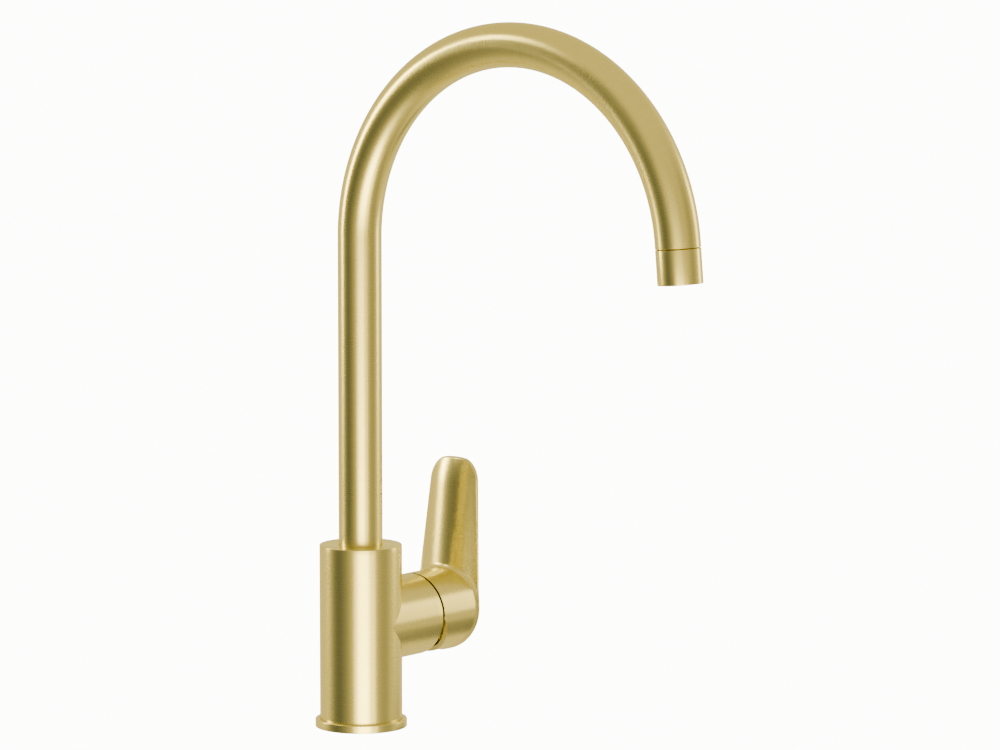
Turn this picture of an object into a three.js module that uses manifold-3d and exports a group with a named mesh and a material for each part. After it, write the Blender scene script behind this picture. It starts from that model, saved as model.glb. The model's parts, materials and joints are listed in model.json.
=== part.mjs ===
// Single-lever kitchen mixer with a swan-neck swivel spout and a side lever.
// Millimetres, +Z up. The origin is on the barrel's axis where the mixer meets the deck.
// The spout points along -Y and the lever hub along +X.
import * as THREE from 'three';
import { mergeVertices } from 'three/addons/utils/BufferGeometryUtils.js';
import Module from 'manifold-3d';

const wasm = await Module();
wasm.setup();

// ---- driving dimensions ----
const GAP = 0.3;                       // clearance between pieces that rest against each other

const BARREL_RADIUS = 24;
const BARREL_TOP = 107.1;
const FOOT_RADIUS = 21;                // the barrel's stepped foot inside the base ring
const FOOT_HEIGHT = 2.8;
const RING_RADIUS = 26.75;
const RING_HEIGHT = 4.8;
const GASKET = [23.1, 24.7];           // inner and outer radius of the gasket under the ring

const HUB_HEIGHT = 60;                 // height of the hub's axis above the deck
const HUB_RADIUS = 24;
const HUB_END = 46.4;                  // distances along the hub are measured from the barrel's axis
const POCKET_RADIUS = 17.7;
const POCKET_FLOOR = 17;
const MOUTH_RADIUS = 20;               // threaded mouth that takes the cartridge nut
const MOUTH_FLOOR = 40;
const LIP_RADIUS = 23.2;               // the hub's rim thins to a lip round the mouth
const LIP_FLOOR = 45;

const SOCKET_RADIUS = 4.9;             // M10 x 1 hose sockets
const SOCKET_DEPTH = 18;
const SOCKET_OFFSET = 7;
const STUD_RADIUS = 3.6;               // M8 stud hole
const STUD_DEPTH = 20;
const STUD_OFFSET = -14;
const PASSAGE_RADIUS = 3;
const INLET_DROP = 5;                  // inlet ports lie below the hub's axis
const OUTLET_RISE = 8;                 // the outlet port lies above it

const SPOUT_BORE_RADIUS = 13.2;
const SPOUT_BORE_FLOOR = 78;
const TUBE_RADIUS = 12.75;
const TUBE_BORE_RADIUS = 11.5;
const TUBE_BOTTOM = 104;
const BEND_START = 286.8;
const BEND_RADIUS = 115;
const BEND_ANGLE = THREE.MathUtils.degToRad(175);
const BEND_STEPS = 28;
const TAIL_LENGTH = 2.3;
const AERATOR_LENGTH = 20;
const SEAM = 0.4;

const RETAINER_HEIGHT = 95.7;          // grub screw that keeps the spout in its bore
const RETAINER_RADIUS = 2;
const SPIGOT = [80, 112];              // brass spigot inside the neck's foot
const SPIGOT_RADIUS = 12.7;
const SPIGOT_BORE = 7;
const O_RING_RADIUS = 12;
const O_RING_SECTION = 1.05;
const O_RING_HEIGHTS = [86.4, 90.6];
const GLIDE_RINGS = [[81, 83.4], [99.5, 102.4]];
const TIP_ADAPTER = [-8, 5];           // the outlet's pieces, as [start, end] up the neck from its end
const WASHER = [-10, -8.4];
const SCREEN = [-11.1, -10.4];
const INSERT = [-18, -11.5];
const GRILLE = [-19.4, -18.3];
const GRILLE_RADIUS = 9.2;
const SLEEVE_LIP = 9.7;                // opening at the outlet
const SLEEVE_BORE = 11;

const PIVOT = 42;                      // tilt axis of the stem, along the hub
const CAP_START = 47.2;
const CAP_RADIUS = 24;
const CAP_BORE_RADIUS = 21.5;
const CAP_FLOOR = 74;
const BOSS_START = 63;                 // square boss inside the cap that holds the stem's adapter
const BOSS_HALF = 9;
const RELIEF_ANGLE = THREE.MathUtils.degToRad(22.5);
const BLADE_FACE = 82;                 // outer face of the blade, where the blade leaves the cap
const BLADE_EDGE = 1.2;                // thickness at the blade's edge
const BLADE_LEAN = THREE.MathUtils.degToRad(6.2);
const BLADE_TAPER = THREE.MathUtils.degToRad(4.8);
const BLADE_TOP = 89.4;                // above the hub's axis
const BLADE_CORNER = 12.5;
const RIDGE_FACE = 75;                 // the inner face is a leaning cylinder; this is its nearest line
const RIDGE_RADIUS = 36;
const RIDGE_LEAN = THREE.MathUtils.degToRad(7.5);
const SHELL_RADIUS = 17.2;             // cartridge body
const BASE = [17.3, 22];               // the cartridge's layers, as [start, end] along the hub
const FIXED_DISC = [22.3, 25];
const MOVING_DISC = [25.3, 28];
const CARRIER = [28.3, 33];
const GUIDE = [33.8, 47.5];
const GUIDE_FLANGE_END = 35.6;
const HOUSING_END = 44;
const LIMIT_RING_START = 44.3;
const GUIDE_RADIUS = 12.6;
const NUT = [40.3, 45.8];
const FIXED_DISC_RADIUS = 15.2;
const MOVING_DISC_RADIUS = 10.6;
const DISC_PORT_RADIUS = 2.8;
const SEAL = [3.1, 4.4];               // inner and outer radius of a port seal
const PIN_RADIUS = 1.5;
const DOME_RADIUS = 19.5;
const DOME_WALL = 1.4;
const DOME_START = 46.1;
const DOME_OPENING = 15;
const STEM_WIDTH = 7;
const STEM_HEIGHT = 8;
const STEM_END = 70;
const BALL_POSITION = 32.8;            // the stem's inner ball drives the moving disc
const BALL_RADIUS = 2.8;
const ADAPTER_HALF = 6;
const ADAPTER_START = 60;
const GRUB_POSITION = 67;
const GRUB_RADIUS = 2.4;
const GRUB_END = 16;                   // distances below the hub's axis
const PLUG = [20, 23.4];
const REACH = 60;                      // how far cutting shapes run past the lever

// ---- materials ----
function metal(color, roughness) {
  return new THREE.MeshStandardMaterial({ color, roughness, metalness: 1 });
}

function plastic(color, roughness) {
  return new THREE.MeshStandardMaterial({ color, roughness, metalness: 0 });
}

const brushedBrass = metal(0xc8b06c, 0.35);
const rawBrass = metal(0xb99a55, 0.4);
const steel = metal(0xb8b9ba, 0.3);
const ceramic = plastic(0xece8df, 0.25);
const acetal = plastic(0xd9d9d4, 0.5);
const greyPlastic = plastic(0x6d7075, 0.5);
const rubber = plastic(0x1b1b1c, 0.8);

// ---- solids ----
// Welds a geometry into one closed surface without empty triangles.
function weld(geometry) {
  geometry.deleteAttribute('normal');
  geometry.deleteAttribute('uv');
  const merged = mergeVertices(geometry, 1e-4);
  const corners = merged.index.array;
  const kept = [];
  for (let i = 0; i < corners.length; i += 3) {
    const [a, b, c] = [corners[i], corners[i + 1], corners[i + 2]];
    if (a !== b && b !== c && c !== a) {
      kept.push(a, b, c);
    }
  }
  merged.setIndex(kept);
  return merged;
}

function solid(geometry) {
  const welded = weld(geometry);
  return new wasm.Manifold(new wasm.Mesh({
    numProp: 3,
    vertProperties: new Float32Array(welded.attributes.position.array),
    triVerts: new Uint32Array(welded.index.array),
  }));
}

function surface(manifold) {
  const mesh = manifold.getMesh();
  const geometry = new THREE.BufferGeometry();
  geometry.setAttribute('position', new THREE.BufferAttribute(mesh.vertProperties, 3));
  geometry.setIndex(new THREE.BufferAttribute(mesh.triVerts, 1));
  return geometry;
}

// Turns a closed outline of [radius, height] corners, listed anticlockwise, about Z.
function turned(outline, sides = 24) {
  const points = [...outline, outline[0]].map(([radius, height]) => new THREE.Vector2(radius, height));
  return new THREE.LatheGeometry(points, sides).rotateX(Math.PI / 2);
}

function tube(outer, inner, from, to, sides = 24) {
  return turned([[inner, from], [outer, from], [outer, to], [inner, to]], sides);
}

function rod(radius, from, to, x = 0, y = 0, sides = 16) {
  const outline = [[0, from], [radius, from], [radius, to], [0, to]];
  const points = outline.map(([r, z]) => new THREE.Vector2(r, z));
  return new THREE.LatheGeometry(points, sides).rotateX(Math.PI / 2).translate(x, y, 0);
}

function block(low, high) {
  const size = high.map((value, i) => value - low[i]);
  const middle = high.map((value, i) => (value + low[i]) / 2);
  return new THREE.BoxGeometry(...size).translate(...middle);
}

function ring(radius, section, height, sides = 20) {
  const outline = [];
  for (let i = 0; i < 8; i += 1) {
    const angle = (i / 8) * 2 * Math.PI;
    outline.push([radius + section * Math.cos(angle), height + section * Math.sin(angle)]);
  }
  return turned(outline, sides);
}

// The hub's own frame: z runs out along the hub, x points up and y to the spout's side.
const hubFrame = new THREE.Matrix4().makeRotationAxis(new THREE.Vector3(1, 0, 1).normalize(), Math.PI);
hubFrame.setPosition(0, 0, HUB_HEIGHT);

const faucet = new THREE.Group();
const hubGroup = new THREE.Group();
hubGroup.applyMatrix4(hubFrame);
faucet.add(hubGroup);

function place(group, name, geometry, material) {
  const mesh = new THREE.Mesh(weld(geometry), material);
  mesh.name = name;
  group.add(mesh);
}

// ---- fixed body ----
function valveBody() {
  const barrel = solid(turned([
    [0, 0], [FOOT_RADIUS, 0], [FOOT_RADIUS, FOOT_HEIGHT], [BARREL_RADIUS, FOOT_HEIGHT],
    [BARREL_RADIUS, BARREL_TOP], [0, BARREL_TOP],
  ], 40));
  const hub = solid(rod(HUB_RADIUS, 0, HUB_END, 0, 0, 40).applyMatrix4(hubFrame));
  const cuts = [
    rod(SPOUT_BORE_RADIUS, SPOUT_BORE_FLOOR, BARREL_TOP + 1, 0, 0, 32),
    rod(POCKET_RADIUS, POCKET_FLOOR, HUB_END + 1, 0, 0, 32).applyMatrix4(hubFrame),
    rod(MOUTH_RADIUS, MOUTH_FLOOR, HUB_END + 2, 0, 0, 32).applyMatrix4(hubFrame),
    rod(LIP_RADIUS, LIP_FLOOR, HUB_END + 3, 0, 0, 40).applyMatrix4(hubFrame),
    rod(STUD_RADIUS, -1, STUD_DEPTH, STUD_OFFSET, 0, 12),
    rod(PASSAGE_RADIUS, HUB_HEIGHT + OUTLET_RISE, SPOUT_BORE_FLOOR + 1, 0, 0, 12),
    rod(PASSAGE_RADIUS, -PASSAGE_RADIUS, POCKET_FLOOR + 1, OUTLET_RISE, 0, 12).applyMatrix4(hubFrame),
  ];
  for (const side of [-1, 1]) {
    const y = side * SOCKET_OFFSET;
    cuts.push(rod(SOCKET_RADIUS, -1, SOCKET_DEPTH, 0, y, 16));
    cuts.push(rod(PASSAGE_RADIUS, SOCKET_DEPTH - 1, HUB_HEIGHT - INLET_DROP, 0, y, 12));
    const crossing = rod(PASSAGE_RADIUS, -PASSAGE_RADIUS, POCKET_FLOOR + 1, -INLET_DROP, y, 12);
    cuts.push(crossing.applyMatrix4(hubFrame));
  }
  const grubHole = rod(RETAINER_RADIUS + GAP, SPOUT_BORE_RADIUS - 2, BARREL_RADIUS + 1, 0, 0, 12);
  cuts.push(grubHole.rotateX(-Math.PI / 2).translate(0, 0, RETAINER_HEIGHT));
  return surface(cuts.reduce((body, cut) => body.subtract(solid(cut)), barrel.add(hub)));
}

function baseRing() {
  const edge = 0.8;
  const seat = BARREL_RADIUS + GAP;
  const bore = FOOT_RADIUS + GAP;
  const [grooveIn, grooveOut] = [GASKET[0] - GAP, GASKET[1] + GAP];
  return turned([
    [bore, 0], [grooveIn, 0], [grooveIn, 1.2], [grooveOut, 1.2], [grooveOut, 0], [RING_RADIUS, 0],
    [RING_RADIUS, RING_HEIGHT - edge], [RING_RADIUS - edge, RING_HEIGHT], [seat, RING_HEIGHT],
    [seat, FOOT_HEIGHT - GAP], [bore, FOOT_HEIGHT - GAP],
  ], 40);
}

// The grub screw stands in the barrel's rear wall and its tip runs in the spigot's groove.
function spoutRetainer() {
  const tip = SPIGOT_RADIUS - 0.9;
  const end = BARREL_RADIUS - 1.5;
  const shank = SPOUT_BORE_RADIUS + 0.8;
  const dog = RETAINER_RADIUS - 0.7;
  const outline = [
    [0, tip], [dog, tip], [dog, shank], [RETAINER_RADIUS, shank + 0.6], [RETAINER_RADIUS, end], [0, end],
  ];
  const points = outline.map(([radius, height]) => new THREE.Vector2(radius, height));
  return new THREE.LatheGeometry(points, 12).translate(0, 0, RETAINER_HEIGHT);
}

place(faucet, 'valve_body', valveBody(), brushedBrass);
place(faucet, 'base_ring', baseRing(), brushedBrass);
place(faucet, 'base_seal', tube(GASKET[1], GASKET[0], 0, 0.9, 40), rubber);
place(faucet, 'spout_retaining_screw', spoutRetainer(), steel);

// ---- cartridge ----
const PORTS = [
  { name: 'hot', x: -INLET_DROP, y: -SOCKET_OFFSET },
  { name: 'cold', x: -INLET_DROP, y: SOCKET_OFFSET },
  { name: 'outlet', x: OUTLET_RISE, y: 0 },
];

function drilledDisc(radius, [from, to], holes) {
  const disc = solid(rod(radius, from, to, 0, 0, 24));
  return surface(holes.reduce((body, hole) => body.subtract(solid(hole)), disc));
}

function portHoles(radius, from, to) {
  return PORTS.map((port) => rod(radius, from, to, port.x, port.y, 12));
}

function crossRod(radius, half) {
  return rod(radius, -half, half, 0, 0, 12).rotateX(Math.PI / 2).translate(0, 0, PIVOT);
}

function cartridgeBase() {
  const recesses = portHoles(SEAL[1] + GAP, BASE[0] - 1, BASE[0] + 1.5);
  return drilledDisc(SHELL_RADIUS, BASE, [...portHoles(PASSAGE_RADIUS, BASE[0], BASE[1] + 1), ...recesses]);
}

// A cup over the discs, with a narrower collar that the nut presses on.
function cartridgeHousing() {
  const cavity = SHELL_RADIUS - 1.6;
  const shoulder = NUT[0] - 0.6;
  const collar = SHELL_RADIUS - 2.2;
  const throat = GUIDE_RADIUS + 0.4;
  return turned([
    [cavity, BASE[1] + GAP], [SHELL_RADIUS, BASE[1] + GAP], [SHELL_RADIUS, shoulder], [collar, shoulder],
    [collar, HOUSING_END], [throat, HOUSING_END], [throat, GUIDE_FLANGE_END + GAP],
    [cavity, GUIDE_FLANGE_END + GAP],
  ]);
}

// A pocket in the moving disc's sealing face lets hot and cold water mix.
function movingDisc() {
  const [start] = MOVING_DISC;
  return drilledDisc(MOVING_DISC_RADIUS, MOVING_DISC, [block([-4, -7.5, start - 1], [8, 7.5, start + 1.3])]);
}

function discCarrier() {
  const seat = rod(BALL_RADIUS + 0.5, CARRIER[0] + 1.3, CARRIER[1] + 1);
  return drilledDisc(MOVING_DISC_RADIUS, CARRIER, [seat]);
}

function stemGuide() {
  const [start, end] = GUIDE;
  const flange = 15;
  const slotWidth = STEM_WIDTH / 2 + 0.4;
  const slotHeight = 7;
  const guide = solid(turned([
    [0, start], [flange, start], [flange, GUIDE_FLANGE_END], [GUIDE_RADIUS, GUIDE_FLANGE_END],
    [GUIDE_RADIUS, end], [0, end],
  ]));
  const slot = solid(block([-slotHeight, -slotWidth, start - 1], [slotHeight, slotWidth, end + 1]));
  return surface(guide.subtract(slot).subtract(solid(crossRod(PIN_RADIUS + GAP, 13))));
}

// A flat bar that ends in a ball, which moves the carrier as the lever tilts.
function stem() {
  const height = STEM_HEIGHT / 2;
  const width = STEM_WIDTH / 2;
  const bar = solid(block([-height, -width, GUIDE_FLANGE_END - 0.1], [height, width, STEM_END]));
  const neck = solid(rod(2, BALL_POSITION, GUIDE_FLANGE_END + 1.4, 0, 0, 12));
  const ball = new THREE.SphereGeometry(BALL_RADIUS, 12, 8).rotateX(Math.PI / 2);
  const parts = bar.add(neck).add(solid(ball.translate(0, 0, BALL_POSITION)));
  return surface(parts.subtract(solid(crossRod(PIN_RADIUS + 0.4, 6))));
}

// A spherical cover centred on the tilt axis hides the nut under the lever's cap.
function domeCover() {
  const inner = DOME_RADIUS - DOME_WALL;
  const start = DOME_START - PIVOT;
  const outline = [];
  const arc = (radius, from, to, steps) => {
    for (let i = 0; i <= steps; i += 1) {
      const angle = from + ((to - from) * i) / steps;
      outline.push([radius * Math.cos(angle), PIVOT + radius * Math.sin(angle)]);
    }
  };
  arc(DOME_RADIUS, Math.asin(start / DOME_RADIUS), Math.acos(DOME_OPENING / DOME_RADIUS), 4);
  arc(inner, Math.acos((DOME_OPENING - 0.4) / inner), Math.asin(start / inner), 3);
  return turned(outline);
}

place(hubGroup, 'cartridge_base', cartridgeBase(), greyPlastic);
for (const port of PORTS) {
  const seal = tube(SEAL[1], SEAL[0], BASE[0], BASE[0] + 1.2, 16).translate(port.x, port.y, 0);
  place(hubGroup, `${port.name}_port_seal`, seal, rubber);
}
const discPorts = portHoles(DISC_PORT_RADIUS, FIXED_DISC[0] - 1, FIXED_DISC[1] + 1);
place(hubGroup, 'fixed_ceramic_disc', drilledDisc(FIXED_DISC_RADIUS, FIXED_DISC, discPorts), ceramic);
place(hubGroup, 'moving_ceramic_disc', movingDisc(), ceramic);
place(hubGroup, 'disc_carrier', discCarrier(), acetal);
place(hubGroup, 'cartridge_housing', cartridgeHousing(), greyPlastic);
place(hubGroup, 'stem_guide', stemGuide(), acetal);
place(hubGroup, 'pivot_pin', crossRod(PIN_RADIUS, 12), steel);
place(hubGroup, 'temperature_limit_ring', tube(15.1, GUIDE_RADIUS + 0.35, LIMIT_RING_START, NUT[1]), acetal);
place(hubGroup, 'cartridge_nut', tube(MOUTH_RADIUS - GAP, 15.4, ...NUT), rawBrass);
place(hubGroup, 'dome_cover', domeCover(), brushedBrass);
place(hubGroup, 'cartridge_stem', stem(), steel);

// ---- lever ----
// The blade's outline is a teardrop: the cap's circle, two straight tapers and a rounded top.
function bladeOutline() {
  const cos = Math.cos(BLADE_TAPER);
  const sin = Math.sin(BLADE_TAPER);
  const side = Math.PI / 2 - BLADE_TAPER;
  const cornerX = BLADE_TOP - BLADE_CORNER;
  const cornerY = (CAP_RADIUS - BLADE_CORNER - cornerX * sin) / cos;
  const outline = new THREE.Shape();
  outline.absarc(0, 0, CAP_RADIUS, side, 2 * Math.PI - side, false);
  outline.absarc(cornerX, -cornerY, BLADE_CORNER, -side, 0, false);
  outline.absarc(cornerX, cornerY, BLADE_CORNER, 0, side, false);
  outline.closePath();
  return outline;
}

// Leans a geometry outwards and sets its z = 0 at a distance along the hub, at the cap's top.
function leaned(geometry, lean, distance) {
  return solid(geometry.rotateY(-lean).translate(0, 0, distance - CAP_RADIUS * Math.tan(lean)));
}

// Everything beyond the blade's outer face, or beyond a face that lies a little inside it.
function beyondBlade(inset) {
  return leaned(block([-REACH, -REACH, -inset], [2 * REACH, REACH, REACH]), BLADE_LEAN, BLADE_FACE);
}

function leverBlade() {
  const settings = { depth: REACH, bevelEnabled: false, curveSegments: 12 };
  const outline = new THREE.ExtrudeGeometry(bladeOutline(), settings);
  const ridge = rod(RIDGE_RADIUS, -REACH, 2 * REACH, 0, 0, 64).rotateY(Math.PI / 2);
  const convex = leaned(ridge.translate(0, 0, RIDGE_RADIUS), RIDGE_LEAN, RIDGE_FACE);
  return solid(outline.translate(0, 0, BOSS_START)).intersect(convex.add(beyondBlade(BLADE_EDGE)));
}

// The cap's rim is cut back below the hub's axis so that the lever can tilt.
function rimRelief() {
  const wedge = new THREE.Shape();
  wedge.moveTo(GAP, CAP_START - 5);
  wedge.lineTo(GAP, CAP_START);
  wedge.lineTo(GAP - REACH, CAP_START + REACH * Math.tan(RELIEF_ANGLE));
  wedge.lineTo(GAP - REACH, CAP_START - 5);
  wedge.closePath();
  const cutter = new THREE.ExtrudeGeometry(wedge, { depth: 2 * REACH, bevelEnabled: false });
  return solid(cutter.translate(0, 0, -REACH).rotateX(Math.PI / 2));
}

function leverHandle() {
  const cap = solid(rod(CAP_RADIUS, CAP_START, CAP_START + REACH, 0, 0, 48));
  const bore = solid(rod(CAP_BORE_RADIUS, CAP_START - 1, CAP_FLOOR, 0, 0, 32));
  const boss = solid(block([-BOSS_HALF, -BOSS_HALF, BOSS_START], [BOSS_HALF, BOSS_HALF, CAP_FLOOR + 1]));
  const half = ADAPTER_HALF + GAP;
  const socket = solid(block([-half, -half, BOSS_START - 1], [half, half, STEM_END + 2]));
  const grubHole = solid(downRod(GRUB_RADIUS + 0.4, 0, CAP_RADIUS + 1));
  const shell = cap.add(leverBlade()).subtract(beyondBlade(0)).subtract(bore).subtract(rimRelief());
  return surface(shell.add(boss).subtract(socket).subtract(grubHole));
}

function stemAdapter() {
  const half = ADAPTER_HALF;
  const sleeve = solid(block([-half, -half, ADAPTER_START], [half, half, STEM_END + 1]));
  const halfX = STEM_HEIGHT / 2 + GAP;
  const halfY = STEM_WIDTH / 2 + GAP;
  const slot = solid(block([-halfX, -halfY, ADAPTER_START - 1], [halfX, halfY, STEM_END + 2]));
  return surface(sleeve.subtract(slot));
}

function downRod(radius, from, to) {
  return rod(radius, from, to, 0, 0, 12).rotateY(-Math.PI / 2).translate(0, 0, GRUB_POSITION);
}

place(hubGroup, 'lever_handle', leverHandle(), brushedBrass);
place(hubGroup, 'stem_adapter', stemAdapter(), greyPlastic);
place(hubGroup, 'lever_grub_screw', downRod(GRUB_RADIUS, ADAPTER_HALF + GAP, GRUB_END), steel);
place(hubGroup, 'grub_screw_plug', downRod(GRUB_RADIUS, ...PLUG), brushedBrass);

// ---- spout ----
// The neck rises, bends over and ends in a short straight tail.
// Its first and last steps are the straight stretches, and the rest lie on the bend.
class NeckCurve extends THREE.Curve {
  getPoint(t, target = new THREE.Vector3()) {
    const step = t * (BEND_STEPS + 2);
    if (step <= 1) {
      return target.set(0, 0, TUBE_BOTTOM + (BEND_START - TUBE_BOTTOM) * step);
    }
    const angle = Math.min((step - 1) * (Math.PI / BEND_STEPS), BEND_ANGLE);
    const beyond = Math.max(0, step - 1 - BEND_STEPS) * TAIL_LENGTH;
    return target.set(
      0,
      -BEND_RADIUS * (1 - Math.cos(angle)) - beyond * Math.sin(angle),
      BEND_START + BEND_RADIUS * Math.sin(angle) + beyond * Math.cos(angle),
    );
  }

  getTangent(t, target = new THREE.Vector3()) {
    const step = t * (BEND_STEPS + 2);
    const angle = THREE.MathUtils.clamp((step - 1) * (Math.PI / BEND_STEPS), 0, BEND_ANGLE);
    return target.set(0, -Math.sin(angle), Math.cos(angle));
  }

  getPointAt(u, target) {
    return this.getPoint(u, target);
  }

  getTangentAt(u, target) {
    return this.getTangent(u, target);
  }
}

function circlePath(radius, sides) {
  const corners = [];
  for (let i = 0; i < sides; i += 1) {
    const angle = (i / sides) * 2 * Math.PI;
    corners.push(new THREE.Vector2(radius * Math.cos(angle), radius * Math.sin(angle)));
  }
  return corners;
}

function spoutTube() {
  const section = new THREE.Shape(circlePath(TUBE_RADIUS, 20));
  section.holes.push(new THREE.Path(circlePath(TUBE_BORE_RADIUS, 16)));
  return new THREE.ExtrudeGeometry(section, {
    steps: BEND_STEPS + 2,
    extrudePath: new NeckCurve(),
    bevelEnabled: false,
  });
}

// Lands of full radius alternate with grooves: glide ring, two seals, the retainer's groove, glide ring.
function spoutSpigot() {
  const glide = SPIGOT_RADIUS - 1.3;
  const sealFloor = SPIGOT_RADIUS - 2.1;
  const top = TUBE_BOTTOM - GAP;
  const throat = TUBE_BORE_RADIUS - 0.5;
  const around = (start, end, margin, floor) => [start - margin, end + margin, floor];
  const grooves = [
    around(...GLIDE_RINGS[0], GAP, glide),
    ...O_RING_HEIGHTS.map((height) => around(height, height, 1.5, sealFloor)),
    around(RETAINER_HEIGHT, RETAINER_HEIGHT, 2, SPIGOT_RADIUS - 1.4),
    around(...GLIDE_RINGS[1], GAP, glide),
  ];
  const outline = [[SPIGOT_BORE, SPIGOT[0]], [SPIGOT_RADIUS, SPIGOT[0]]];
  for (const [from, to, floor] of grooves) {
    outline.push([SPIGOT_RADIUS, from], [floor, from], [floor, to], [SPIGOT_RADIUS, to]);
  }
  outline.push([SPIGOT_RADIUS, top], [throat, top], [throat, SPIGOT[1]], [SPIGOT_BORE, SPIGOT[1]]);
  return turned(outline);
}

const GLIDE = [SPIGOT_RADIUS - 1, SPOUT_BORE_RADIUS - 0.2];
place(faucet, 'spout_tube', spoutTube(), brushedBrass);
place(faucet, 'spout_spigot', spoutSpigot(), rawBrass);
place(faucet, 'lower_glide_ring', tube(GLIDE[1], GLIDE[0], ...GLIDE_RINGS[0]), acetal);
place(faucet, 'lower_spout_o_ring', ring(O_RING_RADIUS, O_RING_SECTION, O_RING_HEIGHTS[0]), rubber);
place(faucet, 'upper_spout_o_ring', ring(O_RING_RADIUS, O_RING_SECTION, O_RING_HEIGHTS[1]), rubber);
place(faucet, 'upper_glide_ring', tube(GLIDE[1], GLIDE[0], ...GLIDE_RINGS[1]), acetal);

// ---- aerator, in a frame at the tube's end whose +z runs back up the tube ----
const tip = new THREE.Group();
tip.position.set(
  0,
  -BEND_RADIUS * (1 - Math.cos(BEND_ANGLE)) - TAIL_LENGTH * Math.sin(BEND_ANGLE),
  BEND_START + BEND_RADIUS * Math.sin(BEND_ANGLE) + TAIL_LENGTH * Math.cos(BEND_ANGLE),
);
tip.rotation.x = -(Math.PI - BEND_ANGLE);
faucet.add(tip);

function aeratorHousing() {
  const edge = 0.5;
  const wall = 1.4;
  const [outer, bottom] = [TUBE_RADIUS, -AERATOR_LENGTH];
  return turned([
    [SLEEVE_LIP, bottom], [outer - edge, bottom], [outer, bottom + edge], [outer, -SEAM],
    [SLEEVE_BORE, -SEAM], [SLEEVE_BORE, bottom + wall], [SLEEVE_LIP, bottom + wall],
  ]);
}

function outletGrille() {
  const cell = 1.6;
  const pitch = 4.4;
  const [from, to] = [GRILLE[0] - 1, GRILLE[1] + 1];
  const holes = [rod(cell, from, to, 0, 0, 6)];
  for (let i = 0; i < 6; i += 1) {
    const angle = (i / 6) * 2 * Math.PI;
    holes.push(rod(cell, from, to, pitch * Math.cos(angle), pitch * Math.sin(angle), 6));
  }
  return drilledDisc(GRILLE_RADIUS, GRILLE, holes);
}

// Threaded adapter between the neck's end and the aerator.
function tipAdapter() {
  const bore = 8.6;
  const thread = SLEEVE_BORE - 0.6;
  const inside = TUBE_BORE_RADIUS - 0.5;
  const [start, end] = TIP_ADAPTER;
  return turned([[bore, start], [thread, start], [thread, -0.2], [inside, 0.2], [inside, end], [bore, end]]);
}

const INSERT_RADIUS = SLEEVE_BORE - 0.4;
place(tip, 'tip_adapter', tipAdapter(), rawBrass);
place(tip, 'aerator_housing', aeratorHousing(), brushedBrass);
place(tip, 'aerator_washer', tube(INSERT_RADIUS, 8.4, ...WASHER), rubber);
place(tip, 'aerator_screen', rod(INSERT_RADIUS - 0.1, ...SCREEN, 0, 0, 24), steel);
place(tip, 'aerator_insert', tube(INSERT_RADIUS, 7.4, ...INSERT), acetal);
place(tip, 'aerator_grille', outletGrille(), greyPlastic);

export default faucet;
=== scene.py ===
"""Looks for the single-lever kitchen mixer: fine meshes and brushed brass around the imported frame."""
import json
import math

import bmesh
import bpy
import numpy as np
from mathutils import Matrix, Vector


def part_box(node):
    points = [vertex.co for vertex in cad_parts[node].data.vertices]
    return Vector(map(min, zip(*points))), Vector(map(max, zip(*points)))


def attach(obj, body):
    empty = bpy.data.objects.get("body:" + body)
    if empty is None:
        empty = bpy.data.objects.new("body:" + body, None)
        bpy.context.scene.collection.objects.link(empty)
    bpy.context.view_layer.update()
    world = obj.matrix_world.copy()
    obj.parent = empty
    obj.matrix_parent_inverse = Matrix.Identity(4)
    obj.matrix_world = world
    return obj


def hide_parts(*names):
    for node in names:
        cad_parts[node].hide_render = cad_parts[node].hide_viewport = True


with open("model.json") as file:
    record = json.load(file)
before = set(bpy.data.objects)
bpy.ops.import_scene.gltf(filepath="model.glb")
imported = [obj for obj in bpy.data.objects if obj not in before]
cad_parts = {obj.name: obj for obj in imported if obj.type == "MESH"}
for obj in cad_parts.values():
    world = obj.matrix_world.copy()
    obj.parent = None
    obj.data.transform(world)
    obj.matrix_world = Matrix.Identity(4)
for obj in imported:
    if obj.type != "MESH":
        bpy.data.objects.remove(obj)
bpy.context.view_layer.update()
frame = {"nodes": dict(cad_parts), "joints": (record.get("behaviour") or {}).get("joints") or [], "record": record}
MM = 0.001

# ---- places and sizes, from the frame ----
body_low, body_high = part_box("valve_body")
ring_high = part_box("base_ring")[1]
tube_low, tube_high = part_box("spout_tube")
dome_low, dome_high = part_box("dome_cover")
lever_low, lever_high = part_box("lever_handle")
seal_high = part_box("base_seal")[1]
plug_low, plug_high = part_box("grub_screw_plug")
screw_low, screw_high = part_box("spout_retaining_screw")
joints = {joint["name"]: joint for joint in frame["joints"]}
pivot = Vector(joints["flow_lift"]["pos_m"])

BARREL_RADIUS = -body_low.y
BARREL_TOP = body_high.z
HUB_END = body_high.x
HUB_HEIGHT = pivot.z
FOOT_STEP = 2.8 * MM
FOOT_RADIUS = BARREL_RADIUS - 3 * MM
SPOUT_BORE_RADIUS = 13.2 * MM
SPOUT_BORE_FLOOR = 78 * MM
MOUTH_RADIUS = 20 * MM
MOUTH_FLOOR = 40 * MM
LIP_RADIUS = 23.2 * MM
LIP_FLOOR = 45 * MM
GAP_SHADE_END = HUB_HEIGHT - 8 * MM
POCKET_RADIUS = 17.7 * MM
POCKET_FLOOR = 17 * MM
SHOULDER_EDGE = 0.35 * MM
RIM_EDGE = 0.12 * MM
COLLAR_GAP = 0.12 * MM
COLLAR_DEPTH = 1 * MM
HOSE_SOCKET_RADIUS = 4.9 * MM
HOSE_SOCKET_DEPTH = 18 * MM
HOSE_SOCKET_OFFSET = 7 * MM
STUD_HOLE_RADIUS = 3.6 * MM
STUD_HOLE_DEPTH = 20 * MM
STUD_OFFSET = 14 * MM
GRUB_HOLE_RADIUS = 2.3 * MM
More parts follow.
